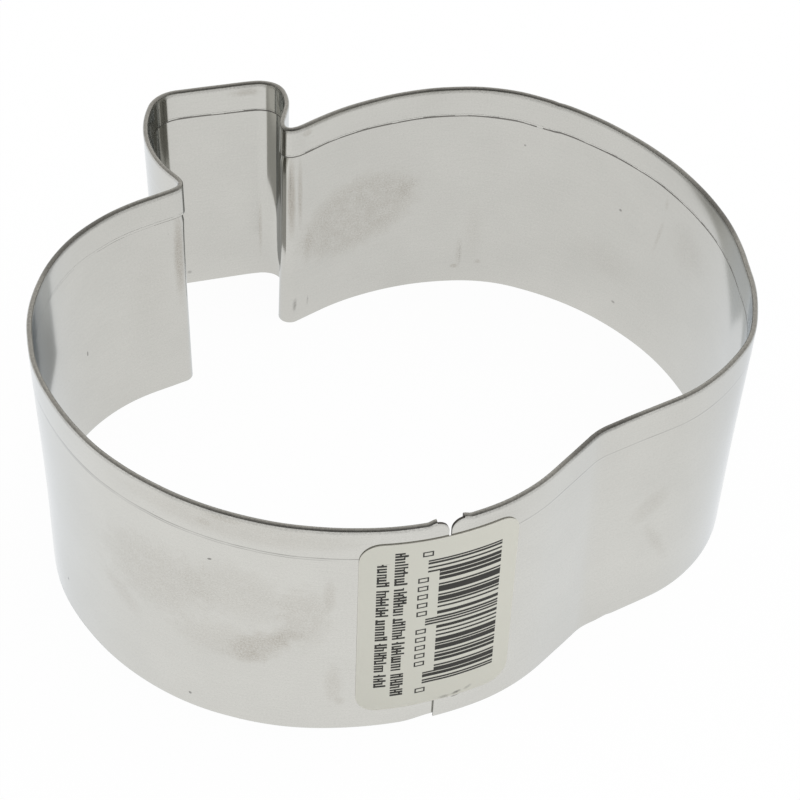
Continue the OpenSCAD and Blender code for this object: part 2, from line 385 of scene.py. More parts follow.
@dataclass
class Band(Part):
    """The hemmed strip of tinned steel, bent to the outline, with its lapped joint."""

    node: ClassVar[str] = "band"
    slot: ClassVar[str] = "tinned_steel"
    outline: Outline
    height: float = 25.4
    sheet: float = 0.22
    hem: float = 3.5
    hem_gap: float = 0.08
    slit: float = 0.24
    corner: float = 1.1
    burr: float = 0.25
    burr_run: float = 0.8
    lap_outside: float = 0.55
    lap_inside: float = 5.0
    lap_below_hem: float = 3.4
    lap_gap: float = 0.04
    setback_run: float = 3.0
    setback_spare: float = 0.15
    weld_count: int = 3
    weld_size: float = 2.0
    weld_deep: float = 0.035
    weld_rim: float = 0.35
    weld_rows: tuple[float, int] = (1.4, 12)
    corner_steps: int = 13
    fold_steps: int = 14
    end_steps: tuple[float, ...] = (0.0, 0.02, 0.06, 0.2)
    joint_step: float = 0.25
    flap_steps: tuple[float, ...] = (0.08, 0.25, 0.45, 0.65, 0.8, 0.9)
    # The sliver beside the hem's edge is painted shade as well as bare steel: its width, waves,
    # fainter stretch and break draw the dark line under the hem.
    sliver: float = 0.068
    sliver_steps: tuple[float, ...] = (1.6, 1.3, 1.15, 1.0, 0.85, 0.7, 0.5, 0.38, 0.28, 0.0)
    sliver_uneven: tuple[Triple, ...] = ((0.16, 0.9, 0.0), (0.1, 2.7, 1.0))
    sliver_thin: Triple = (146.0, 190.0, 0.4)
    rolled: float = 0.06
    rolled_share: float = 0.45
    witness: float = 0.012
    uneven_end: float = 0.18
    uneven_run: float = 14.0
    run: float = 0.7
    turn: float = 3.5
    lean: Lean = Lean()
    rim_nick: Nick = Nick(79.3, 0.07, 0.35)
    foot_nick: Nick = Nick(20.4, 0.14, 0.5)
    foot_nick_high: float = 0.9
    crown_dent: Nick = Nick(119.6, 0.115, 1.4)
    notches: tuple[Notch, ...] = (Notch(109.85, 1.3), Notch(146.4, 0.8))
    notch_press: float = 0.20
    notch_step: float = 1.2
    notch_fade: float = 4.0
    limb_swells: tuple[Nick, ...] = (Nick(37.8, 0.27, 3.2), Nick(176.0, 0.28, 5.0))
    foot_swell: Nick = Nick(182.5, 0.2, 5.0)
    foot_swell_high: float = 10.0
    hem_jog: Triple = (79.0, 83.5, 0.10)
    hem_break: Pair = (80.9, 81.6)
    stem: Pair = (104.0, 152.0)
    stem_calm: float = 0.85
    stem_run: float = 6.0
    top_run: float = 4.0
    hem_run: float = 3.0
    dent: Ripple = Ripple(((9, 0.022, 0.4), (14, 0.016, 2.1), (23, 0.008, 4.0)))
    hem_line: Ripple = Ripple(((7, 0.035, 1.0), (19, 0.03, 3.3), (41, 0.012, 0.2)))
    top_line: Ripple = Ripple(((5, 0.012, 2.2), (17, 0.010, 0.9), (47, 0.006, 5.0)))

    def __post_init__(self) -> None:
        """Works out what follows from the sizes."""
        self.fold_mid = (self.sheet + self.hem_gap) / 2
        self.fold_z = self.height - self.fold_mid - self.sheet / 2
        self.hem_z = self.height - self.hem
        self.lap_z = self.hem_z - self.lap_below_hem
        self.hem_start = self.slit / 2 + self.corner
        self.burr_end = self.hem_start + self.burr_run
        self.weld_v = (self.slit / 2 + self.lap_inside) / 2
        pitch = self.lap_z / self.weld_count
        self.weld_z = [pitch * (k + 0.5) for k in range(self.weld_count)]

    def stations(self) -> Array:
        """Distances along the strip at which its cross section is drawn."""
        half, total = self.slit / 2, self.outline.length
        quarter = np.linspace(0, math.pi / 2, self.corner_steps)
        near = np.concatenate(
            [
                half + self.corner * (1 - np.cos(quarter)),
                np.linspace(self.hem_start, self.burr_end, 8)[1:],
                np.arange(self.burr_end + self.joint_step, self.lap_inside - 0.1, self.joint_step),
                [self.lap_inside],
            ]
        )
        outer_end = -self.lap_outside + np.array(self.end_steps)
        tongue = np.concatenate([[half], np.arange(0.35, self.lap_inside - 0.3, 0.2)])
        tongue_end = self.lap_inside - np.array([0.25, 0.06, 0.02, 0])
        spare = self.lap_inside + 0.2
        plain = self.outline.stops(spare, total - spare, self.run, self.turn)
        return np.concatenate(
            [outer_end, near, plain, total - near[::-1], total + tongue, total + tongue_end]
        )

    def rows(self) -> tuple[Array, Array, Array]:
        """The strip's cross section at mid sheet, from the cutting edge to the hem's edge.

        Returns:
            Distance over the flat blank, angle folded over, and share of the flap gone down.
        """
        reach, steps = self.weld_rows
        wall = np.concatenate(
            [
                [*self.end_steps, 0.5, self.foot_nick_high],
                *[z + np.linspace(-reach, reach, steps) for z in self.weld_z],
                *[z + np.linspace(2.0, 4.1, 3) for z in self.weld_z[:-1]],
                [self.weld_z[-1] + 2.2, self.lap_z],
                np.linspace(self.lap_z, self.hem_z, 4)[1:-1],
                self.hem_z + np.array([-0.1, -0.03, 0.03, 0.1, 0.35]),
                np.linspace(self.hem_z + 0.9, self.fold_z, 5),
            ]
        )
        wall = np.sort(wall)
        fold = np.linspace(0, math.pi, self.fold_steps + 1)[1:]
        near_edge = 1 - self.sliver * np.array(self.sliver_steps)
        down = np.concatenate([self.flap_steps, near_edge])
        blank = np.concatenate(
            [
                wall,
                self.fold_z + self.fold_mid * fold,
                self.fold_z + self.fold_mid * math.pi + (self.fold_z - self.hem_z) * down,
            ]
        )
        angle = np.concatenate([0 * wall, fold, np.full(len(down), math.pi)])
        flap = np.concatenate([0 * wall, 0 * fold, down])
        return blank, angle, flap

    def from_slit(self, v: Array) -> Array:
        """Distance of a station from the slit, negative past it."""
        return np.minimum(v, self.outline.length - v)

    def set_back(self, v: Array, z: Array) -> Array:
        """How far the inner end lies behind the outer one, below the hem."""
        reach = self.setback_run
        gone = v - self.outline.length + self.lap_outside + self.setback_spare + reach
        low = 1 - ease((z - self.lap_z) / (self.hem_z - self.lap_z))
        return (self.sheet + self.lap_gap) * ease(gone / reach) * low

    def dents(self, v: Array, z: Array) -> Array:
        """How far the wall stands out from the outline through its unevenness."""
        total = self.outline.length
        turn = 2 * math.pi * (v + self.outline.joint) / total
        lean = self.lean.at(turn) * (z / self.height - 0.5)
        low, high = self.stem
        calm = ease((v - low) / self.stem_run) * ease((high - v) / self.stem_run)
        swell = sum(limb.at(v) for limb in self.limb_swells) * ease(z / self.height) ** 2
        swell = swell + self.foot_swell.at(v) * (1 - ease(z / self.foot_swell_high))
        uneven = self.dent.at(v, total) * (1 - self.stem_calm * calm) - self.crown_dent.at(v)
        return uneven + lean + swell

    def weld_press(self, v: Array, z: Array) -> Array:
        """How deep the electrode's craters are on the inner end of the lap."""
        deep = np.zeros(np.broadcast(v, z).shape)
        for height in self.weld_z:
            away = np.hypot(v - self.outline.length - self.weld_v, z - height)
            away = away / (self.weld_size / 2)
            rim = self.weld_rim * np.exp(-(((away - 1.05) / 0.2) ** 2))
            deep = deep + self.weld_deep * (np.exp(-((away / 0.8) ** 4)) - rim)
        return deep

    def step_out(self, z: Array) -> Array:
        """The slight step of the outside where the hem's edge presses from within."""
        return self.witness * ease((z - self.hem_z + 0.03) / 0.06)

    def edge_heights(self, v: Array) -> tuple[Array, Array]:
        """Heights of the fold's foot and of the hem's edge along the strip."""
        total, d = self.outline.length, self.from_slit(v)
        burr = self.burr * (1 - ease((d - self.hem_start) / self.burr_run))
        burr = burr + self.top_line.at(v, total) * ease((d - self.burr_end) / self.top_run)
        burr = burr - self.rim_nick.at(v)
        settled = ease((d - self.burr_end) / self.hem_run)
        hem_edge = self.hem_z + self.hem_line.at(v, total) * settled
        start, stop, deep = self.hem_jog
        hem_edge = hem_edge - deep * ease((v - start) / 0.25) * ease((stop - v) / 2)
        return self.fold_z + burr, hem_edge

    def heights(self, v: Array, blank: Array, angle: Array, flap: Array) -> Array:
        """Heights of the sheet's middle.

        Args:
            v: distances of the stations along the strip.
            blank: distances of the rows over the flat blank.
            angle: angles that the rows are folded over.
            flap: shares of the flap that the rows have gone down.

        Returns:
            The heights over stations and rows.
        """
        top, hem_edge = self.edge_heights(v)
        cut = corner_down(self.corner, self.from_slit(v) - self.slit / 2)
        stretch = (top - cut - self.hem_z) / (self.fold_z - self.hem_z)
        stretched = self.hem_z + (blank - self.hem_z) * stretch
        wall = np.where(blank > self.hem_z, stretched, blank)
        rise = ease((v - self.outline.length + self.uneven_run) / self.uneven_run)
        wall = wall + self.uneven_end * rise * (1 - ease(blank / self.lap_z))
        wall = wall + self.foot_nick.at(v) * (1 - ease(blank / self.foot_nick_high))
        fold = top + self.fold_mid * np.sin(angle)
        hem = top * (1 - flap) + hem_edge * flap
        return np.where(angle == 0, wall, np.where(flap > 0, hem, fold))

    def left_of_sheet(self, v: Array, blank: Array, flap: Array) -> Array:
        """Share of the sheet's thickness that is left where its cut edges are rolled."""
        free = np.where(flap > 0, (1 - flap) * (self.fold_z - self.hem_z), blank)
        ends = np.minimum(v + self.lap_outside, self.outline.length + self.lap_inside - v)
        bare = 1 - np.clip(np.minimum(free, ends) / self.rolled, 0, 1)
        return 1 - self.rolled_share * bare**2

    def notch_pull(self, v: Array, blank: Array, z: Array) -> Array:
        """How far the wall is drawn in below the hem beside the notches."""
        near = sum(notch.near(v) for notch in self.notches)
        below = np.where(blank < self.hem_z, self.hem_z - z, 0)
        under = np.exp(-np.maximum(below, 0) / self.notch_fade) * ease(below / self.notch_step)
        return self.notch_press * near * under

    def bend(self, v: Array, z: Array, out: Array) -> Array:
        """Points beside the outline, whose sharp notches open out towards the rim.

        Args:
            v: distances of the stations along the strip.
            z: heights over stations and rows.
            out: how far each point lies outside the outline.

        Returns:
            The points in millimetres.
        """
        near = [notch.near(v) for notch in self.notches]
        reach = sum(n.reach * (share > 0.001) for n, share in zip(self.notches, near))
        place, heading = self.outline.place(v)
        soft_place, soft_way = self.outline.rounded(v, reach)
        share = (sum(near)[:, None] * np.clip(z / self.height, 0, 1))[..., None]
        way = np.stack([np.cos(heading), np.sin(heading)], -1)
        point = place[:, None] * (1 - share) + soft_place[:, None] * share
        way = way[:, None] * (1 - share) + soft_way[:, None] * share
        way = way / np.linalg.norm(way, axis=-1, keepdims=True)
        x, y = point[..., 0] + out * way[..., 1], point[..., 1] - out * way[..., 0]
        return np.stack([x, y, z], -1)

    def surface(self, face: int) -> tuple[Array, Array]:
        """Points of the sheet's outer (+1) or inner (-1) face, over stations and rows.

        Args:
            face: +1 for the face that lies outside along the wall, -1 for the other.

        Returns:
            The points in millimetres, and where each lies on the flat strip.
        """
        v = self.stations()[:, None]
        blank, angle, flap = (a[None, :] for a in self.rows())
        wall = angle == 0
        z = self.heights(v, blank, angle, flap)
        half = face * self.sheet / 2 * self.left_of_sheet(v, blank, flap)
        inset = self.sheet / 2 + self.fold_mid * (1 - np.cos(angle))
        out = half * np.cos(angle) - inset + self.dents(v, z)
        out = out - np.where(wall, self.set_back(v, z), 0)
        out = out + np.where(wall & (face > 0), self.step_out(z), self.witness)
        out = out - np.where(wall & (face < 0), self.witness, 0)
        if face < 0:
            out = out + self.weld_press(v, z)
        z = z + half * np.sin(angle)
        out = out - self.notch_pull(v, blank, z)
        flat = np.stack(np.broadcast_arrays(v, blank), -1)
        return self.bend(v[:, 0], z, out), flat

    def filled(self) -> Array:
        """Which cells between stations and rows the blank of the strip fills."""
        v = self.stations()
        d = self.from_slit((v[1:] + v[:-1]) / 2)[:, None]
        blank, angle, _ = self.rows()
        high = blank[None, 1:]
        joined = high <= self.lap_z + 1e-6
        single = (high <= self.fold_z + 1e-6) & (angle[None, 1:] == 0)
        return np.where(d < self.slit / 2, joined, np.where(d < self.hem_start, single, True))

    def worn_and_shaded_edge(self) -> Array:
        """The sliver of the flap along the hem's sheared edge: bare steel, and painted shade of
        the gap under the hem's edge.
        """
        v = self.stations()
        at = (v[1:] + v[:-1])[:, None] / 2
        _, _, flap = self.rows()
        reach = 1 - flap[None, :-1]
        waves = [size * np.sin(at * often + phase) for size, often, phase in self.sliver_uneven]
        start, stop, share = self.sliver_thin
        wide = self.sliver * (1 + sum(waves)) * np.where((at > start) & (at < stop), share, 1.0)
        broken = (at > self.hem_break[0]) & (at < self.hem_break[1])
        return (flap[None, 1:] > 0) & (reach <= wide) & ~broken

    def build(self) -> bpy.types.Object:
        """Lays the sheet and sets the weld marks on its inner end.

        Returns:
            The band's object.
        """
        outer, flat = self.surface(1)
        inner, _ = self.surface(-1)
        sheet = Sheet("tin_band", outer, inner, self.filled(), flat, self.worn_and_shaded_edge())
        return sheet.build()

    def finishes(self, effects: "Effects") -> tuple[bpy.types.Material, ...]:
        """Tin on the faces, bare steel at the cuts, and beside the hem's edge a dark sliver of
        bare steel and painted shade.
        """
        cut = EdgeFinish("cut_edge", (0.15, 0.142, 0.132))
        # The dark sliver beside the hem's edge: bare steel, and painted shade of the gap under it.
        worn_and_shaded = EdgeFinish("worn_and_shaded_hem", (0.26, 0.25, 0.235))
        tin = TinnedSteel().make(effects, self)
        return tin, cut.make(effects), worn_and_shaded.make(effects)


@dataclass
class Label(Part):
    """The paper sticker over the joint."""

    node: ClassVar[str] = "label"
    slot: ClassVar[str] = "label_paper"
    band: Band
    width: float = 14.5
    low: float = 2.4
    below_top: float = 1.7
    shift: float = 0.55
    corner: float = 2.0
    paper: float = 0.1
    glue: float = 0.01
    step: float = 0.4
    rows: int = 40
    end_rows: tuple[float, ...] = (0.0, 0.004, 0.015)
    sag: Nick = Nick(-1.2, 0.05, 1.3)
    sag_from: Pair = (21.0, 17.0)
    corner_lift: Pair = (0.012, 2.2)
    end_lift: Pair = (0.006, 0.7)
    lift_below_top: float = 1.2

    def __post_init__(self) -> None:
        """Works out what follows from the sizes."""
        self.start = -self.width / 2 - self.shift
        self.top = self.band.height - self.below_top

    def build(self) -> bpy.types.Object:
        """Lays the paper on the band's outside.

        Returns:
            The label's object.
        """
        quarter = self.corner * (1 - np.cos(np.linspace(0, math.pi / 2, 11)))
        plain = np.arange(self.corner + self.step, self.width - self.corner - 0.1, self.step)
        along = np.concatenate([quarter, plain, self.width - quarter[::-1]])[:, None]
        ends = np.array(self.end_rows)
        up = np.concatenate([ends, np.linspace(0.04, 0.96, self.rows), 1 - ends[::-1]])[None, :]
        cut = corner_down(self.corner, np.minimum(along, self.width - along))
        z = self.low + cut + (self.top - self.low - 2 * cut) * up
        v = self.start + along
        band, total = self.band, self.band.outline.length
        base = band.dents(v % total, z) + band.step_out(z)
        none, full = self.sag_from
        sag = self.sag.at(v) * ease((none - z) / (none - full))
        near_top = ease((z - self.top) / self.lift_below_top + 1)
        curls = (self.corner_lift, self.end_lift)
        at_corner, at_end = (high * (1 - ease(along / long)) for high, long in curls)
        lift = near_top * at_corner + at_end
        place, heading = band.outline.place(v[:, 0])
        faces = []
        for height in (self.glue + self.paper, self.glue):
            out = base + height - sag + lift
            x = place[:, :1] + out * np.sin(heading)[:, None]
            y = place[:, 1:] - out * np.cos(heading)[:, None]
            faces.append(np.stack([x, y, z], -1))
        flat = np.stack(np.broadcast_arrays(v, z), -1)
        filled = np.ones((len(along) - 1, up.shape[1] - 1), bool)
        return Sheet("paper_label", faces[0], faces[1], filled, flat).build()

    def finishes(self, effects: "Effects") -> tuple[bpy.types.Material, ...]:
        """Printed paper, and its darker edge."""
        # The label's edge is darker than the paper, which draws a dark line round the label.
        darkened = EdgeFinish("label_edge", (0.38, 0.365, 0.32), 0.7, 0.0, (0.3, 0.6))
        return LabelPaper().make(effects), darkened.make(effects)


# Shader wiring


class Value:
    """A socket to reckon with: each sum, product or comparison adds a Math node."""

    def __init__(self, w: "Wiring", socket: Socket) -> None:
        """Holds a socket of this wiring."""
        self.w, self.socket = w, socket

    def __add__(self, other: "Value | float") -> "Value":
        """Sum."""
        return self.w.math("ADD", self, other)

    def __sub__(self, other: "Value | float") -> "Value":
        """Difference."""
        return self.w.math("SUBTRACT", self, other)

    def __rsub__(self, other: float) -> "Value":
        """Difference from a number."""
        return self.w.math("SUBTRACT", other, self)

    def __mul__(self, other: "Value | float") -> "Value":
        """Product."""
        return self.w.math("MULTIPLY", self, other)

    def __truediv__(self, other: "Value | float") -> "Value":
        """Quotient."""
        return self.w.math("DIVIDE", self, other)

    def __rtruediv__(self, other: float) -> "Value":
        """A number divided by the value."""
        return self.w.math("DIVIDE", other, self)

    def __lt__(self, other: "Value | float") -> "Value":
        """1 where it is less, 0 elsewhere."""
        return self.w.math("LESS_THAN", self, other)

    def __gt__(self, other: "Value | float") -> "Value":
        """1 where it is more, 0 elsewhere."""
        return self.w.math("GREATER_THAN", self, other)

    def __or__(self, other: "Value | float") -> "Value":
        """The larger of two, which joins two masks."""
        return self.w.math("MAXIMUM", self, other)

    def __abs__(self) -> "Value":
        """Size without sign."""
        return self.w.math("ABSOLUTE", self)


class Wiring:
    """Adds nodes to one tree and joins them."""

    def __init__(self, tree: bpy.types.NodeTree) -> None:
        """Works on this tree."""
        self.tree = tree

    def feed(self, node: bpy.types.Node, feeds: Feeds) -> None:
        """Joins a node's sockets to values, or writes constants on them."""
        for name, value in feeds.items():
            socket = node.inputs[name]
            if isinstance(value, Value):
                self.tree.links.new(value.socket, socket)
            elif socket.type == "RGBA" and len(value) == 3:
                socket.default_value = (*value, 1.0)
            else:
                socket.default_value = value

    def add(self, kind: str, feeds: Feeds | None = None, **settings: object) -> bpy.types.Node:
        """Adds a node.

        Args:
            kind: its type, without the ShaderNode in front.
            feeds: what goes into its sockets, by name or number.
            settings: its own properties.

        Returns:
            The node.
        """
        node = self.tree.nodes.new(f"ShaderNode{kind}")
        for name, value in settings.items():
            setattr(node, name, value)
        self.feed(node, feeds or {})
        return node

    def outs(self, kind: str, feeds: Feeds | None = None, **settings: object) -> dict[str, Value]:
        """Adds a node and gives its outputs by name."""
        return {x.name: Value(self, x) for x in self.add(kind, feeds, **settings).outputs}

    def out(
        self, kind: str, feeds: Feeds | None = None, port: int | str = 0, **settings: object
    ) -> Value:
        """Adds a node and gives one of its outputs."""
        return Value(self, self.add(kind, feeds, **settings).outputs[port])

    def math(self, operation: str, *values: object, clamp: bool = False) -> Value:
        """Result of a Math node."""
        return self.out("Math", dict(enumerate(values)), operation=operation, use_clamp=clamp)

    def vector(self, operation: str, first: object, second: object = ORIGIN) -> Value:
        """Result of a Vector Math node: a number for a length or a dot product."""
        feeds = {0: first, "Scale" if operation == "SCALE" else 1: second}
        port = "Value" if operation in ("LENGTH", "DOT_PRODUCT") else "Vector"
        return self.out("VectorMath", feeds, port, operation=operation)

    def span(
        self, value: object, low: object, high: object, start: float = 0.0, end: float = 1.0
    ) -> Value:
        """A value's smooth way from start to end as it goes from low to high."""
        names = ("Value", "From Min", "From Max", "To Min", "To Max")
        feeds = dict(zip(names, (value, low, high, start, end)))
        return self.out("MapRange", feeds, interpolation_type="SMOOTHSTEP")

    def blend(self, share: object, first: object, second: object) -> Value:
        """Mix of two colours."""
        return self.out("Mix", {0: share, 6: first, 7: second}, 2, data_type="RGBA")

    def noise(
        self, vector: object, scale: float, detail: float = 2.0, rough: float = 0.5
    ) -> Value:
        """Value of a Noise node, about 0.5."""
        feeds = {"Vector": vector, "Scale": scale, "Detail": detail, "Roughness": rough}
        return self.out("TexNoise", feeds, noise_dimensions="3D")

    def parts(self, vector: object) -> list[Value]:
        """The three parts of a vector."""
        return list(self.outs("SeparateXYZ", {0: vector}).values())

    def ramp(
        self, value: object, stops: list[tuple[float, float]], interpolation: str = "LINEAR"
    ) -> Value:
        """Looks a value up among places from 0 to 1 and their tones.

        Args:
            value: the value.
            stops: places in rising order, each with its tone.
            interpolation: LINEAR between two stops, or CONSTANT up to the next.

        Returns:
            The tone.
        """
        node = self.add("ValToRGB", {0: value})
        bar = node.color_ramp
        bar.interpolation = interpolation
        for number in (0, -1):
            place, tone = stops[number]
            bar.elements[number].position = place
            bar.elements[number].color = (tone, tone, tone, 1.0)
        for place, tone in stops[1:-1]:
            bar.elements.new(place).color = (tone, tone, tone, 1.0)
        return Value(self, node.outputs[0])


def new_effect(
    name: str, inputs: dict[str, float | Triple], outputs: tuple[str, ...] = ("Mask",)
) -> tuple[Wiring, dict[str, Value], bpy.types.Node]:
    """Starts a shared effect that takes a place on the flat strip.

    Args:
        name: the effect's name.
        inputs: its other inputs with their usual values. A tuple makes a vector input.
        outputs: names of the values that it puts out.

    Returns:
        Its wiring, its inputs by name, and the node that takes its outputs.
    """
    tree = bpy.data.node_groups.new(name, "ShaderNodeTree")
    for label, usual in {"Place": ORIGIN, **inputs}.items():
        kind = "NodeSocketVector" if isinstance(usual, tuple) else "NodeSocketFloat"
        made = tree.interface.new_socket(label, in_out="INPUT", socket_type=kind)
        made.default_value = usual
    for label in outputs:
        tree.interface.new_socket(label, in_out="OUTPUT", socket_type="NodeSocketFloat")
    w = Wiring(tree)
    start, end = (tree.nodes.new(f"NodeGroup{x}") for x in ("Input", "Output"))
    return w, {x.name: Value(w, x) for x in start.outputs if x.name}, end


class Effects:
    """Effects that several finishes share, each built once."""

    def __init__(self) -> None:
        """Builds them."""
        self.grain = self._grain()
        self.patch = self._patch()
        self.line = self._line()
        self.specks = self._specks()
        self.window = self._window()

    def _grain(self) -> bpy.types.NodeTree:
        """Fine streaks along the sheet over a soft mottle."""
        inputs = {"Streak": 0.6, "Mottle": 0.4}
        w, given, end = new_effect("sheet grain", inputs, ("Shade", "Height"))
        place = given["Place"]
        streak = w.noise(w.vector("MULTIPLY", place, (0.25, 3.0, 1.0)), 1.6, 3.0, 0.6)
        fine = w.noise(w.vector("MULTIPLY", place, (1.0, 1.5, 1.0)), 4.6, 2.0, 0.7)
        broad = w.noise(place, 0.16)
        streak = (streak - 0.5) * given["Streak"]
        mottle = ((fine - 0.5) * 1.2 + (broad - 0.5) * 0.5) * given["Mottle"]
        w.feed(end, {"Shade": streak + mottle, "Height": streak + 0.5})
        return w.tree

    def _patch(self) -> bpy.types.NodeTree:
        """A soft oval patch that a mottle breaks up."""
        inputs = {"Middle": ORIGIN, "Size": (1.0, 1.0, 1.0), "Turn": ORIGIN}
        inputs |= dict.fromkeys(("Soft", "Ragged", "Broken", "Mottle", "Grit"), 0.5)
        w, given, end = new_effect("handled patch", inputs)
        names = {"Vector": "Place", "Location": "Middle", "Rotation": "Turn", "Scale": "Size"}
        feeds = {socket: given[label] for socket, label in names.items()}
        local = w.out("Mapping", feeds, vector_type="TEXTURE")
        mottle = given["Mottle"] - 0.5
        away = w.vector("LENGTH", local) + mottle * given["Ragged"] * 2.0
        inside = w.span(away, 1.0, 1.0 - given["Soft"])
        kept = w.span(mottle * 0.3 + given["Grit"], 0.38, 0.62)
        kept = kept * given["Broken"] + (1.0 - given["Broken"])
        w.feed(end, {"Mask": inside * kept})
        return w.tree

    def _line(self) -> bpy.types.NodeTree:
        """A thin line along the sheet at one height, stronger and weaker along its way."""
        inputs = {"Height": 0.0, "Width": 0.1, "Uneven": 0.5, "Start": 0.0, "End": 100.0}
        w, given, end = new_effect("painted shade line", inputs)
        v, high, _ = w.parts(given["Place"])
        along = w.out("CombineXYZ", {"X": v})
        wander = (w.noise(along, 0.35) - 0.5) * 0.12
        shape = w.span(abs(high + wander - given["Height"]) / given["Width"], 1.0, 0.0)
        weak = 1.0 - w.span(w.noise(along, 0.12, 3.0, 0.7), 0.35, 0.65)
        begun = w.span(v - given["Start"], 0.0, 5.0)
        ended = w.span(given["End"] - v, 0.0, 5.0)
        w.feed(end, {"Mask": shape * (1.0 - weak * given["Uneven"]) * begun * ended})
        return w.tree

    def _specks(self) -> bpy.types.NodeTree:
        """Small scattered specks."""
        w, given, end = new_effect("specks", {"Apart": 6.0, "Size": 0.1, "Share": 0.5})
        feeds = {"Vector": given["Place"], "Scale": 1.0 / given["Apart"], "Randomness": 1.0}
        cells = w.outs("TexVoronoi", feeds, voronoi_dimensions="2D")
        kept = w.out("SeparateColor", {0: cells["Color"]})
        away = cells["Distance"] * given["Apart"] / (given["Size"] * kept)
        w.feed(end, {"Mask": w.span(away, 1.2, 0.5) * (kept < given["Share"])})
        return w.tree

    def _window(self) -> bpy.types.NodeTree:
        """An upright box on the sheet, 1 inside and 0 outside."""
        w, given, end = new_effect("window", {"Low": ORIGIN, "High": (1.0, 1.0, 1.0)})
        place, low, high = (w.parts(value) for value in given.values())
        across = (place[0] > low[0]) * (place[0] < high[0])
        w.feed(end, {"Mask": across * (place[1] > low[1]) * (place[1] < high[1])})
        return w.tree


# Finishes


@dataclass(frozen=True)
class Mark:
    """A handled, rubbed or dark place on the tin or the paper."""

    side: Side
    v: float
    z: float
    long: float
    high: float
    strength: float
    turn: float = 0.0
    soft: float = 0.7
    ragged: float = 0.6
    broken: float = 0.6

    def feeds(self, around: float) -> Feeds:
        """What the patch effect takes, on a strip that is this long round the outline."""
        high = {
            Side.OUTSIDE: self.z,
            Side.INSIDE: self.z + INNER_FACE_SHIFT,
            Side.HEM: HEM_UNFOLDED - self.z,
        }[self.side]
        return {
            "Middle": (self.v + around if self.v < 0 else self.v, high, 0.0),
            "Size": (self.long, self.high, 1.0),
            "Turn": (0.0, 0.0, math.radians(self.turn)),
            "Soft": self.soft,
            "Ragged": self.ragged,
            "Broken": self.broken,
        }


@dataclass(frozen=True)
class WitnessShade:
    """A faint painted shade line outside, standing for the step where the hem's edge presses
    through the wall.
    """

    high: float
    start: float
    stop: float
    strength: float
    right_of_joint: bool = False
    width: float = 0.10
    uneven: float = 0.6

    def feeds(self, around: float) -> Feeds:
        """What the line effect takes, on a strip that is this long round the outline."""
        shift = 0.0 if self.right_of_joint else around
        return {
            "Height": self.high,
            "Width": self.width,
            "Uneven": self.uneven,
            "Start": self.start + shift,
            "End": self.stop + shift,
        }


def marks_on(side: Side, *rows: tuple[float, ...]) -> tuple[Mark, ...]:
    """Marks on one side, each from its place, length, height, strength and manner."""
    return tuple(Mark(side, *row) for row in rows)


class Canvas:
    """A material that is drawn on the flat strip."""

    def __init__(self, name: str, effects: Effects, around: float = 0.0) -> None:
        """Starts a material with a bare Principled shader.

        Args:
            name: the material's name.
            effects: the shared effects.
            around: length of the strip, which is added to places left of the joint.
        """
        self.material = bpy.data.materials.new(name)
        self.material.use_nodes = True
        self.w = w = Wiring(self.material.node_tree)
        self.effects, self.around = effects, around
        self.place = w.out("UVMap", uv_map=STRIP_MAP)
        self.v, self.z, _ = w.parts(self.place)
        self.mottle = w.noise(self.place, 0.9, 4.0, 0.6)
        spread = w.vector("MULTIPLY", self.place, (1.0, 1.35, 1.0))
        self.grit = w.noise(spread, 5.2, 3.0, 0.75)

    def effect(self, effect: bpy.types.NodeTree, feeds: Feeds) -> dict[str, Value]:
        """Places a shared effect on the strip and gives its outputs by name."""
        return self.w.outs("Group", {"Place": self.place, **feeds}, node_tree=effect)

    def grain(self, streak: float, mottle: float) -> dict[str, Value]:
        """The sheet's grain."""
        return self.effect(self.effects.grain, {"Streak": streak, "Mottle": mottle})

    def marks(self, *marks: Mark) -> Value:
        """Adds up the masks of the marks, up to one."""
        total: Value | float = 0.0
        for mark in marks:
            feeds = mark.feeds(self.around) | {"Mottle": self.mottle, "Grit": self.grit}
            mask = self.effect(self.effects.patch, feeds)["Mask"]
            total = mask * mark.strength + total
        return self.w.math("MINIMUM", total, 1.0)

    def inside(self, low: Pair, high: Pair) -> Value:
        """1 inside the box between two corners."""
        feeds = {"Low": (*low, 0.0), "High": (*high, 0.0)}
        return self.effect(self.effects.window, feeds)["Mask"]

    def shaded(self, colour: object, shade: object) -> Value:
        """A colour made lighter or darker by a factor near one."""
        return self.w.vector("SCALE", colour, shade)

    def relief(self, strength: float, distance: float, height: Value) -> Value:
        """A normal bent by a fine relief, whose depth is in metres."""
        feeds = {"Strength": strength, "Distance": distance, "Height": height}
        return self.w.out("Bump", feeds)

    def finish(self, feeds: Feeds) -> bpy.types.Material:
        """Feeds the shader and gives the material."""
        self.w.feed(self.material.node_tree.nodes["Principled BSDF"], feeds)
        return self.material


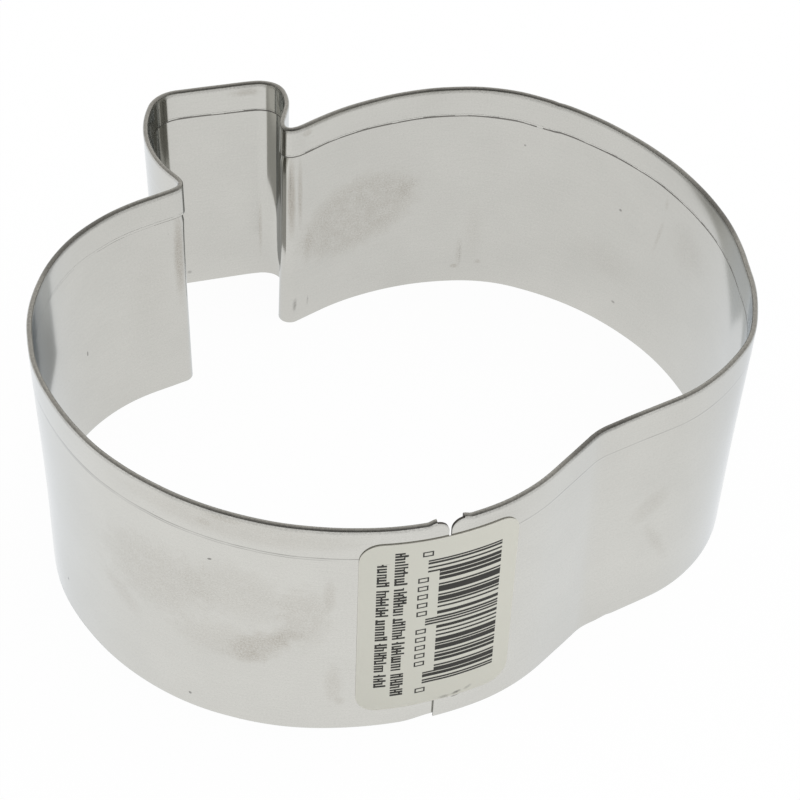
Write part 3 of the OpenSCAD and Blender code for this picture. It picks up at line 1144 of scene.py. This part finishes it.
@dataclass(frozen=True)
class TinnedSteel:
    """Bright tinned steel, faintly streaked by the mill, with finger marks and rubs, and painted
    shade along the hem's line and on the rim's fold.
    """

    colour: Colour = (0.63, 0.624, 0.588)
    smudge: Colour = (0.42, 0.387, 0.335)
    dark: Colour = (0.09, 0.085, 0.08)
    edge_tint: Colour = (0.94, 0.965, 1.0)
    roughness: float = 0.11
    smudge_roughness: float = 0.25
    fold_roughness: float = 0.27
    fold_shade: float = 0.82
    fold_uneven: float = 4.0
    fold_below: Pair = (-0.35, 0.0)
    fold_above: Pair = (0.95, 0.55)
    grain: Pair = (0.07, 0.17)
    relief: Pair = (0.06, 0.00002)
    dust_strength: float = 0.3
    smudges: tuple[Mark, ...] = (
        *marks_on(
            Side.OUTSIDE,
            (-26.5, 14.8, 7.5, 5.2, 0.30, 0, 0.6, 0.6, 0.85),
            (-30.6, 10.2, 4.0, 1.6, 0.26, -36, 0.9, 0.7, 0.8),
            (-18.5, 16.3, 6.0, 4.2, 0.24, -8, 0.6, 0.6, 0.85),
            (-20.5, 10.0, 5.5, 2.8, 0.24, 10, 0.7, 0.6, 0.8),
            (-16.3, 10.3, 4.2, 2.2, 0.52, 28, 0.8, 0.6, 0.7),
            (-17.2, 8.6, 2.6, 1.1, 0.34, 20, 0.8, 0.5, 0.7),
            (-14.0, 11.8, 2.4, 1.3, 0.34, 20, 0.8, 0.6, 0.7),
            (-12.4, 14.6, 3.0, 4.6, 0.32, 0, 0.6, 0.6, 0.8),
            (-10.2, 17.3, 0.8, 2.8, 0.34, 0, 0.8, 0.5, 0.7),
            (-9.8, 6.0, 1.1, 3.2, 0.28, 0, 0.7, 0.5, 0.7),
            (-9.2, 3.8, 0.7, 0.8, 0.28, 0, 0.8, 0.5, 0.6),
            (-18.0, 24.0, 15.0, 1.8, 0.24, 0, 0.6, 0.3, 0.6),
            (-21.3, 23.7, 1.0, 0.5, 0.35, 0, 0.8, 0.5, 0.7),
            (-19.6, 24.7, 2.4, 0.4, 0.30, 0, 0.8, 0.5, 0.7),
            (24.2, 13.0, 3.4, 1.8, 0.26, 35, 0.8, 0.6, 0.8),
            (25.4, 7.8, 4.4, 0.9, 0.26, -62, 0.8, 0.6, 0.8),
            (4.0, 23.9, 4.0, 1.0, 0.12, 0, 0.8, 0.4, 0.6),
        ),
        *marks_on(
            Side.INSIDE,
            (101.2, 11.4, 8.6, 5.3, 0.44, -16, 0.4, 0.35, 0.95),
            (107.3, 9.8, 0.8, 2.4, 0.34, 8, 0.8, 0.5, 0.9),
            (95.3, 13.2, 1.4, 1.8, 0.26, 0, 0.8, 0.5, 0.9),
            (109.2, 16.6, 0.6, 6.4, 0.80, 0, 0.8, 0.3, 0.5),
            (108.2, 17.0, 0.4, 5.6, 0.60, 0, 0.8, 0.3, 0.7),
            (89.1, 4.0, 0.5, 2.8, 0.34, 0, 0.8, 0.4, 1.0),
            (87.6, 6.8, 1.5, 5.6, 0.17, 0, 0.9, 0.5, 1.0),
            (86.9, 2.8, 0.5, 0.4, 0.40, 0, 0.8, 0.5, 0.6),
            (89.6, 2.1, 0.6, 0.35, 0.55, 0, 0.8, 0.5, 0.5),
            (64.8, 20.0, 0.4, 1.1, 0.30, 0, 0.9, 0.5, 0.9),
            (65.3, 15.7, 0.35, 3.1, 0.36, 12, 0.9, 0.5, 0.8),
            (72.0, 8.3, 5.5, 3.4, 0.14, 0, 0.8, 0.6, 0.9),
            (60.5, 16.8, 4.0, 3.6, 0.20, 0, 0.8, 0.6, 0.8),
            (147.2, 17.0, 0.8, 6.8, 0.75, 0, 0.8, 0.3, 0.6),
            (120.2, 6.4, 0.35, 5.0, 0.50, 0, 0.8, 0.4, 1.0),
            (150.5, 14.0, 3.4, 8.0, 0.10, 0, 0.8, 0.5, 0.8),
        ),
        *marks_on(
            Side.HEM,
            (107.4, 24.4, 0.8, 0.5, 0.40, 0, 0.8, 0.5, 0.6),
            (121.5, 24.3, 2.2, 0.6, 0.45, 0, 0.8, 0.5, 0.6),
        ),
    )
    specks: tuple[Mark, ...] = (
        *marks_on(
            Side.OUTSIDE,
            (-20.8, 19.5, 0.28, 0.13, 0.7, 20, 0.5, 0.2, 0.0),
            (-22.9, 1.55, 0.2, 0.2, 0.6, 0, 0.5, 0.2, 0.0),
            (-39.8, 3.5, 0.16, 0.2, 0.6, 0, 0.5, 0.2, 0.0),
            (1.5, 2.22, 0.55, 0.16, 0.6, 10, 0.7, 0.5, 0.3),
        ),
        *marks_on(
            Side.INSIDE,
            (109.3, 18.6, 0.14, 3.2, 0.24, 0, 0.9, 0.2, 0.5),
            (109.0, 2.3, 0.24, 1.2, 0.55, 4, 0.9, 0.4, 0.6),
            (107.4, 2.3, 0.16, 0.9, 0.36, 4, 0.9, 0.4, 0.5),
            (89.0, 3.8, 0.14, 2.2, 0.2, 0, 0.9, 0.3, 1.0),
            (70.8, 15.7, 0.22, 0.2, 0.5, 0, 0.5, 0.2, 0.0),
            (82.7, 19.0, 0.16, 0.16, 0.4, 0, 0.5, 0.2, 0.0),
            (70.2, 3.6, 0.3, 0.2, 0.4, 0, 0.5, 0.3, 0.0),
            (-64.9, 10.2, 0.14, 0.4, 0.5, 0, 0.5, 0.2, 0.0),
            (-95.6, 1.55, 0.35, 0.3, 0.3, 0, 0.6, 0.4, 0.0),
        ),
        # The three long marks on the rim's fold below are not specks but painted shade: they
        # darken the fold's reflection at the left back, the right and beside the dimple.
        *marks_on(
            Side.HEM,
            (159.5, 25.36, 8.5, 0.6, 0.56, 0, 0.7, 0.2, 0.2),
            (57.0, 25.36, 7.0, 0.6, 0.56, 0, 0.7, 0.2, 0.2),
            (17.5, 25.36, 6.5, 0.6, 0.50, 0, 0.7, 0.2, 0.2),
        ),
    )
    # Painted shade lines along the outside, where the step of the hem's edge darkens the
    # reflection.
    witness_shades: tuple[WitnessShade, ...] = (
        WitnessShade(22.05, -62.0, 0.0, 0.60),
        WitnessShade(21.82, -60.0, -8.0, 0.42),
        WitnessShade(22.05, -2.0, 50.0, 0.40, right_of_joint=True),
    )
    burn: tuple[float, ...] = (1.35, 0.45, 0.35, 0.25, 0.3)
    clean: tuple[float, ...] = (0.75, 0.35, 0.3, 0.2, 0.0)

    def _weld(self, canvas: Canvas, band: Band, height: float) -> Value:
        """The burnt ring round a weld's clean middle."""
        masks = []
        for share, *manner in (self.burn, self.clean):
            size = share * band.weld_size / 2
            at = (canvas.around + band.weld_v, height, size, size)
            strength, *rest = manner
            masks.append(canvas.marks(Mark(Side.INSIDE, *at, strength, 0, *rest)))
        return canvas.w.math("SUBTRACT", *masks, clamp=True)

    def _dirt_and_shade(self, canvas: Canvas, band: Band) -> Value:
        """Specks, dust and weld marks, and painted shade: the lines where the hem presses through
        and three marks on the rim's fold.

        Args:
            canvas: where it is drawn.
            band: the strip, for its length and its welds.

        Returns:
            How dark each place is.
        """
        effects = canvas.effects
        dust = canvas.effect(effects.specks, {"Apart": 7.0, "Size": 0.3, "Share": 0.25})["Mask"]
        dirt_and_shade = canvas.marks(*self.specks) + dust * self.dust_strength
        for line in self.witness_shades:
            mask = canvas.effect(effects.line, line.feeds(canvas.around))["Mask"]
            dirt_and_shade = dirt_and_shade + mask * line.strength
        for height in band.weld_z:
            dirt_and_shade = dirt_and_shade + self._weld(canvas, band, height)
        return dirt_and_shade

    def make(self, effects: Effects, band: Band) -> bpy.types.Material:
        """Makes the material.

        Args:
            effects: the shared effects.
            band: the strip, for its fold, its length and its welds.

        Returns:
            The material.
        """
        canvas = Canvas("tinned_steel", effects, band.outline.length)
        w, grain = canvas.w, canvas.grain(*self.grain)
        smudged = canvas.marks(*self.smudges)
        below, above = (
            w.span(canvas.z, *(band.fold_z + step for step in steps))
            for steps in (self.fold_below, self.fold_above)
        )
        folded = below * above
        colour = w.blend(smudged, self.colour, self.smudge)
        colour = w.blend(self._dirt_and_shade(canvas, band), colour, self.dark)
        shade = grain["Shade"] * (folded * self.fold_uneven + 1.0) + 1.0
        shade = shade * (folded * (self.fold_shade - 1) + 1.0)
        rough = smudged * self.smudge_roughness + self.roughness
        return canvas.finish(
            {
                "Base Color": canvas.shaded(colour, shade),
                "Roughness": rough + folded * (self.fold_roughness - self.roughness),
                "Metallic": 1.0,
                "Specular Tint": self.edge_tint,
                "Normal": canvas.relief(*self.relief, grain["Height"]),
            }
        )


@dataclass(frozen=True)
class EdgeFinish:
    """A cut edge: sheared steel, the bare steel and painted shade beside the hem's cut, or the
    paper's darker edge.
    """

    name: str
    colour: Colour
    roughness: float = 0.45
    metallic: float = 1.0
    grain: Pair = (0.5, 0.5)

    def make(self, effects: Effects) -> bpy.types.Material:
        """Makes the material, with streaks along the edge."""
        canvas = Canvas(self.name, effects)
        shade = canvas.grain(*self.grain)["Shade"] + 1.0
        return canvas.finish(
            {
                "Base Color": canvas.shaded(self.colour, shade),
                "Roughness": self.roughness,
                "Metallic": self.metallic,
            }
        )


@dataclass(frozen=True)
class Row:
    """A row of short upright strokes in uneven groups."""

    left: float
    right: float
    low: float
    high: float
    pitch: float = 0.345
    heavy: float = 0.56
    uneven: float = 0.2
    spared: float = 0.11
    group: float = 11.0
    short_share: float = 0.55
    shorter: float = 0.24
    joined_share: float = 0.7
    join_at: Pair = (0.10, 0.32)
    join_half: float = 0.09

    def ink(self, canvas: Canvas) -> Value:
        """Strokes of uneven length, some joined, with gaps between groups.

        Args:
            canvas: where they are drawn.

        Returns:
            The ink's mask.
        """
        w, wide = canvas.w, self.right - self.left
        turns = canvas.z / self.pitch
        cell, part = w.math("FLOOR", turns), w.math("FRACT", turns)
        chance = w.outs("TexWhiteNoise", {"W": cell + self.left * 10}, noise_dimensions="1D")
        red, green, blue = w.outs("SeparateColor", {0: chance["Color"]}).values()
        group = w.math("FLOOR", (cell + self.left * 3) / self.group)
        offset = w.out("TexWhiteNoise", {"W": group}, noise_dimensions="1D")
        gap = w.math("FRACT", (cell + offset * 3.0) / self.group) < self.spared
        top = (green > 1 - self.short_share) * (-self.shorter * wide) + self.right
        stroke = part < red * self.uneven + self.heavy
        first, apart = (share * wide for share in self.join_at)
        level = w.math("FLOOR", blue * 3.0) * apart + (self.left + first)
        join = w.math("COMPARE", canvas.v, level, self.join_half)
        join = join * (red > 1 - self.joined_share)
        box = canvas.inside((self.left, self.low), (self.right, self.high))
        return (stroke | join) * (1.0 - gap) * (canvas.v < top) * box


@dataclass(frozen=True)
class Boxes:
    """A column of small hollow boxes beside the bars."""

    across: float
    middle: float
    count: int
    half_wide: float = 0.48
    half_high: float = 0.31
    stroke: float = 0.14
    pitch: float = 1.07

    def ink(self, canvas: Canvas) -> Value:
        """The ink's mask."""
        w, half = canvas.w, self.count / 2
        high = (canvas.z - self.middle) / self.pitch + half
        off = (w.math("FRACT", high) - 0.5) * self.pitch
        past = abs(canvas.v - self.across) - self.half_wide | abs(off) - self.half_high
        line = w.math("COMPARE", past, -self.stroke / 2, self.stroke / 2)
        return line * w.math("COMPARE", high, half, half)


@dataclass(frozen=True)
class Bars:
    """Bars of uneven width, lying along the strip one above the other."""

    module: float = 0.1695
    spread: float = 0.17
    low: float = 5.15
    left: float = -0.8
    long_left: float = -1.85
    right: float = 5.0
    lower_widths: tuple[int, ...] = (
        (1, 1, 1, 2, 2, 1, 3, 1, 1, 3, 2, 1, 2, 1, 1, 2, 3, 1, 1, 1, 3, 2, 1, 2, 1, 2, 2, 2, 1, 1)
    )
    upper_widths: tuple[int, ...] = (
        (1, 1, 1, 2, 2, 3, 1, 2, 1, 1, 3, 1, 1, 2, 4, 1, 1, 3, 2, 1, 2, 1, 2, 2, 1, 2, 1, 1, 1)
    )
    long_modules: tuple[tuple[int, int], ...] = ((0, 9), (45, 51), (86, 95))

    def _stops(self, widths: tuple[int, ...]) -> list[Pair]:
        """Where ink and gap begin in turn, as shares of the height of all the widths."""
        ends = np.cumsum(widths) + self.spread * np.resize((1, -1), len(widths))
        turns = [(float(end), k % 2) for k, end in enumerate(ends[:-1] / sum(widths))]
        return [(0.0, 1.0), *turns, (1.0, 0.0)]

    def ink(self, canvas: Canvas) -> Value:
        """The ink's mask.

        Args:
            canvas: where the bars are drawn.

        Returns:
            1 on a bar, 0 elsewhere.
        """
        w, low, ink = canvas.w, self.low, None
        for widths in (self.lower_widths, self.upper_widths):
            tall = sum(widths) * self.module
            share = (canvas.z - low) / tall
            half = w.ramp(share, self._stops(widths), "CONSTANT")
            half = half * w.math("COMPARE", share, 0.5, 0.5)
            ink = ink | half if ink else half
            low += tall
        printed = canvas.inside((self.left, self.low), (self.right, low))
        for ends in self.long_modules:
            start, stop = (self.low + end * self.module for end in ends)
            printed = printed | canvas.inside((self.long_left, start), (self.right, stop))
        return ink * printed


@dataclass(frozen=True)
class LabelPaper:
    """Off-white coated paper, printed with plain bars, boxes and rows of strokes."""

    colour: Colour = (0.655, 0.645, 0.57)
    ink: Colour = (0.022, 0.021, 0.019)
    darkened: Colour = (0.10, 0.095, 0.085)
    ink_cover: float = 0.97
    ink_roughness: float = 0.1
    roughness: float = 0.5
    specular: float = 0.25
    grain: Pair = (0.0, 0.05)
    relief: Pair = (0.2, 0.00001)
    bars: Bars = Bars()
    boxes: tuple[Boxes, ...] = (
        Boxes(-1.9, 22.05, 1),
        Boxes(-2.2, 16.7, 5),
        Boxes(-2.2, 10.1, 5),
        Boxes(-2.0, 4.3, 1),
    )
    rows: tuple[Row, ...] = (Row(-4.75, -3.6, 3.8, 22.7), Row(-6.25, -5.15, 5.5, 21.4))
    scuffs: tuple[Mark, ...] = marks_on(
        Side.OUTSIDE,
        (1.51, 2.75, 0.62, 0.26, 0.9, 12, 0.8, 0.6, 0.4),
        (0.35, 2.62, 0.7, 0.26, 0.55, 0, 0.9, 0.7, 0.5),
        (2.65, 3.0, 0.6, 0.24, 0.42, 20, 0.9, 0.7, 0.5),
    )

    def make(self, effects: Effects) -> bpy.types.Material:
        """Makes the material.

        Args:
            effects: the shared effects.

        Returns:
            The material.
        """
        canvas = Canvas("label_paper", effects)
        ink = self.bars.ink(canvas)
        for printed in (*self.boxes, *self.rows):
            ink = ink | printed.ink(canvas)
        w, grain = canvas.w, canvas.grain(*self.grain)
        colour = w.blend(ink * self.ink_cover, self.colour, self.ink)
        colour = w.blend(canvas.marks(*self.scuffs), colour, self.darkened)
        return canvas.finish(
            {
                "Base Color": canvas.shaded(colour, grain["Shade"] + 1.0),
                "Roughness": ink * self.ink_roughness + self.roughness,
                "Specular IOR Level": self.specular,
                "Normal": canvas.relief(*self.relief, grain["Height"]),
            }
        )


# The studio


@dataclass
class Studio:
    """White floor, soft light, a dim room over it, and the camera."""

    floor_half: float = 3.0
    floor_colour: Colour = (0.92, 0.92, 0.92)
    camera_mm: Triple = (-100.38, -126.72, 158.90)
    camera_heading: float = 39.846
    camera_down: float = 43.152
    camera_roll: float = 2.466
    lens: float = 100.169
    day: Colour = (0.98, 0.99, 1.0)
    day_strength: float = 0.80
    key_place: Triple = (0.55, -0.25, 0.95)
    key_watts: float = 6.0
    key_side: float = 1.4
    floor_share_seen: float = 0.97
    floor_share_mirrored: float = 0.93
    deeper: Pair = (0.92, 0.60)
    throat: Pair = (12.0, 17.5)
    deepest: float = 2.0
    glow_tilt: float = -1.1
    beyond: Triple = (0.64, 0.768, 0.0)
    room_tone: float = 0.33
    room_slope: float = 0.30
    room_least: float = 0.03
    horizon: float = 0.24
    horizon_up: float = 0.22
    room_tint: Colour = (1.0, 0.97, 0.925)
    glow: tuple[Pair, ...] = (
        (0.0, 0.895),
        (26.0, 0.905),
        (33.0, 0.97),
        (38.0, 1.0),
        (52.0, 0.96),
        (100.0, 0.95),
    )

    def _kinds_of_ray(self, w: Wiring) -> tuple[Value, Value]:
        """1 for camera rays, and 1 for rays that metal or glass sends on."""
        path = w.outs("LightPath")
        return path["Is Camera Ray"], path["Is Glossy Ray"] | path["Is Transmission Ray"]

    def _glow(self, w: Wiring, place: Value) -> Value:
        """How bright the mirrored floor is, from its middle inside the cutter outwards."""
        reach = self.glow[-1][0]
        share = w.vector("LENGTH", place) / (reach * MM)
        tone = w.ramp(share, [(far / reach, tone) for far, tone in self.glow])
        tilt = w.parts(place)[0] * self.glow_tilt + 1.0 | 1.0 + self.glow_tilt * reach * MM
        return w.math("MINIMUM", tone * tilt, 1.0)

    def floor(self) -> None:
        """A wide white floor that shows white and keeps a faint shadow.

        In the tin it is dimmer the more often a ray was mirrored, mostly in the stem's throat.
        """
        side = self.floor_half
        mesh = bpy.data.meshes.new("floor")
        corners = [(-side, -side, 0), (side, -side, 0), (side, side, 0), (-side, side, 0)]
        mesh.from_pydata(corners, [], [(0, 1, 2, 3)])
        floor = bpy.data.objects.new("floor", mesh)
        bpy.context.scene.collection.objects.link(floor)
        material = bpy.data.materials.new("white_floor")
        material.use_nodes = True
        material.node_tree.nodes.clear()
        w = Wiring(material.node_tree)
        seen, mirrored = self._kinds_of_ray(w)
        share = seen * self.floor_share_seen + mirrored * self.floor_share_mirrored
        bounces = w.outs("LightPath")["Glossy Depth"] - 1.0
        bounces = w.math("MINIMUM", bounces | 0.0, self.deepest)
        place = w.outs("NewGeometry")["Position"]
        throat = (y * MM for y in self.throat)
        deeper = w.span(w.parts(place)[1], *throat, *self.deeper)
        strength = w.math("POWER", deeper, bounces) * self._glow(w, place) | seen
        plain = w.out("BsdfDiffuse", {"Color": self.floor_colour})
        white = w.out("Emission", {"Color": WHITE, "Strength": strength})
        w.add("OutputMaterial", {"Surface": w.out("MixShader", {0: share, 1: plain, 2: white})})
        mesh.materials.append(material)

    def world(self) -> None:
        """White behind the object, daylight on it, and a dim room for the tin to mirror."""
        world = bpy.data.worlds.new("studio")
        world.use_nodes = True
        world.node_tree.nodes.clear()
        bpy.context.scene.world = world
        w = Wiring(world.node_tree)
        seen, mirrored = self._kinds_of_ray(w)
        way = w.outs("TexCoord")["Generated"]
        beyond = w.vector("DOT_PRODUCT", way, self.beyond)
        low = w.span(w.parts(way)[2], self.horizon_up, 0.0) * self.horizon
        tone = beyond * self.room_slope + self.room_tone + low | self.room_least
        tint = w.vector("SCALE", self.room_tint, tone)
        light = w.out("Background", {"Color": self.day, "Strength": self.day_strength})
        room, white = (w.out("Background", {"Color": colour}) for colour in (tint, WHITE))
        mixed = w.out("MixShader", {0: mirrored, 1: light, 2: room})
        mixed = w.out("MixShader", {0: seen, 1: mixed, 2: white})
        w.add("OutputWorld", {"Surface": mixed})

    def lamp(self) -> None:
        """A square soft lamp that looks at the object."""
        data = bpy.data.lights.new("key", "AREA")
        data.shape, data.size, data.energy = "SQUARE", self.key_side, self.key_watts
        lamp = bpy.data.objects.new("key", data)
        lamp.visible_glossy = False
        lamp.location = Vector(self.key_place)
        lamp.rotation_mode = "QUATERNION"
        lamp.rotation_quaternion = (-Vector(self.key_place)).to_track_quat("-Z", "Y")
        bpy.context.scene.collection.objects.link(lamp)

    def camera(self) -> None:
        """The camera, at the photograph's angle."""
        angles = (self.camera_heading, self.camera_down, self.camera_roll)
        heading, down, roll = (math.radians(angle) for angle in angles)
        level = math.cos(down)
        ahead = Vector(
            (math.sin(heading) * level, math.cos(heading) * level, -math.sin(down))
        )
        right = Vector((math.cos(heading), -math.sin(heading), 0))
        up = right.cross(ahead)
        rolled_right = math.cos(roll) * right + math.sin(roll) * up
        rolled_up = -math.sin(roll) * right + math.cos(roll) * up
        data = bpy.data.cameras.new("camera")
        data.sensor_width, data.lens = 36.0, self.lens
        data.clip_start, data.clip_end = 0.01, 20.0
        camera = bpy.data.objects.new("camera", data)
        turn = Matrix((rolled_right, rolled_up, -ahead)).transposed()
        camera.matrix_world = Matrix.Translation(Vector(self.camera_mm) * MM) @ turn.to_4x4()
        bpy.context.scene.collection.objects.link(camera)
        bpy.context.scene.camera = camera

    def build(self) -> None:
        """Sets the whole studio up."""
        self.floor()
        self.world()
        self.lamp()
        self.camera()
        bpy.context.scene.view_settings.view_transform = "Standard"


def main() -> None:
    """Builds the cutter around the frame, and the studio."""
    logging.basicConfig(level=logging.INFO, format="%(name)s: %(message)s")
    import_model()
    effects = Effects()
    band = Band(Outline())
    for part in (band, Label(band)):
        part.dress(effects)
    Studio().build()
    bpy.context.view_layer.update()


if __name__ == "__main__":
    main()
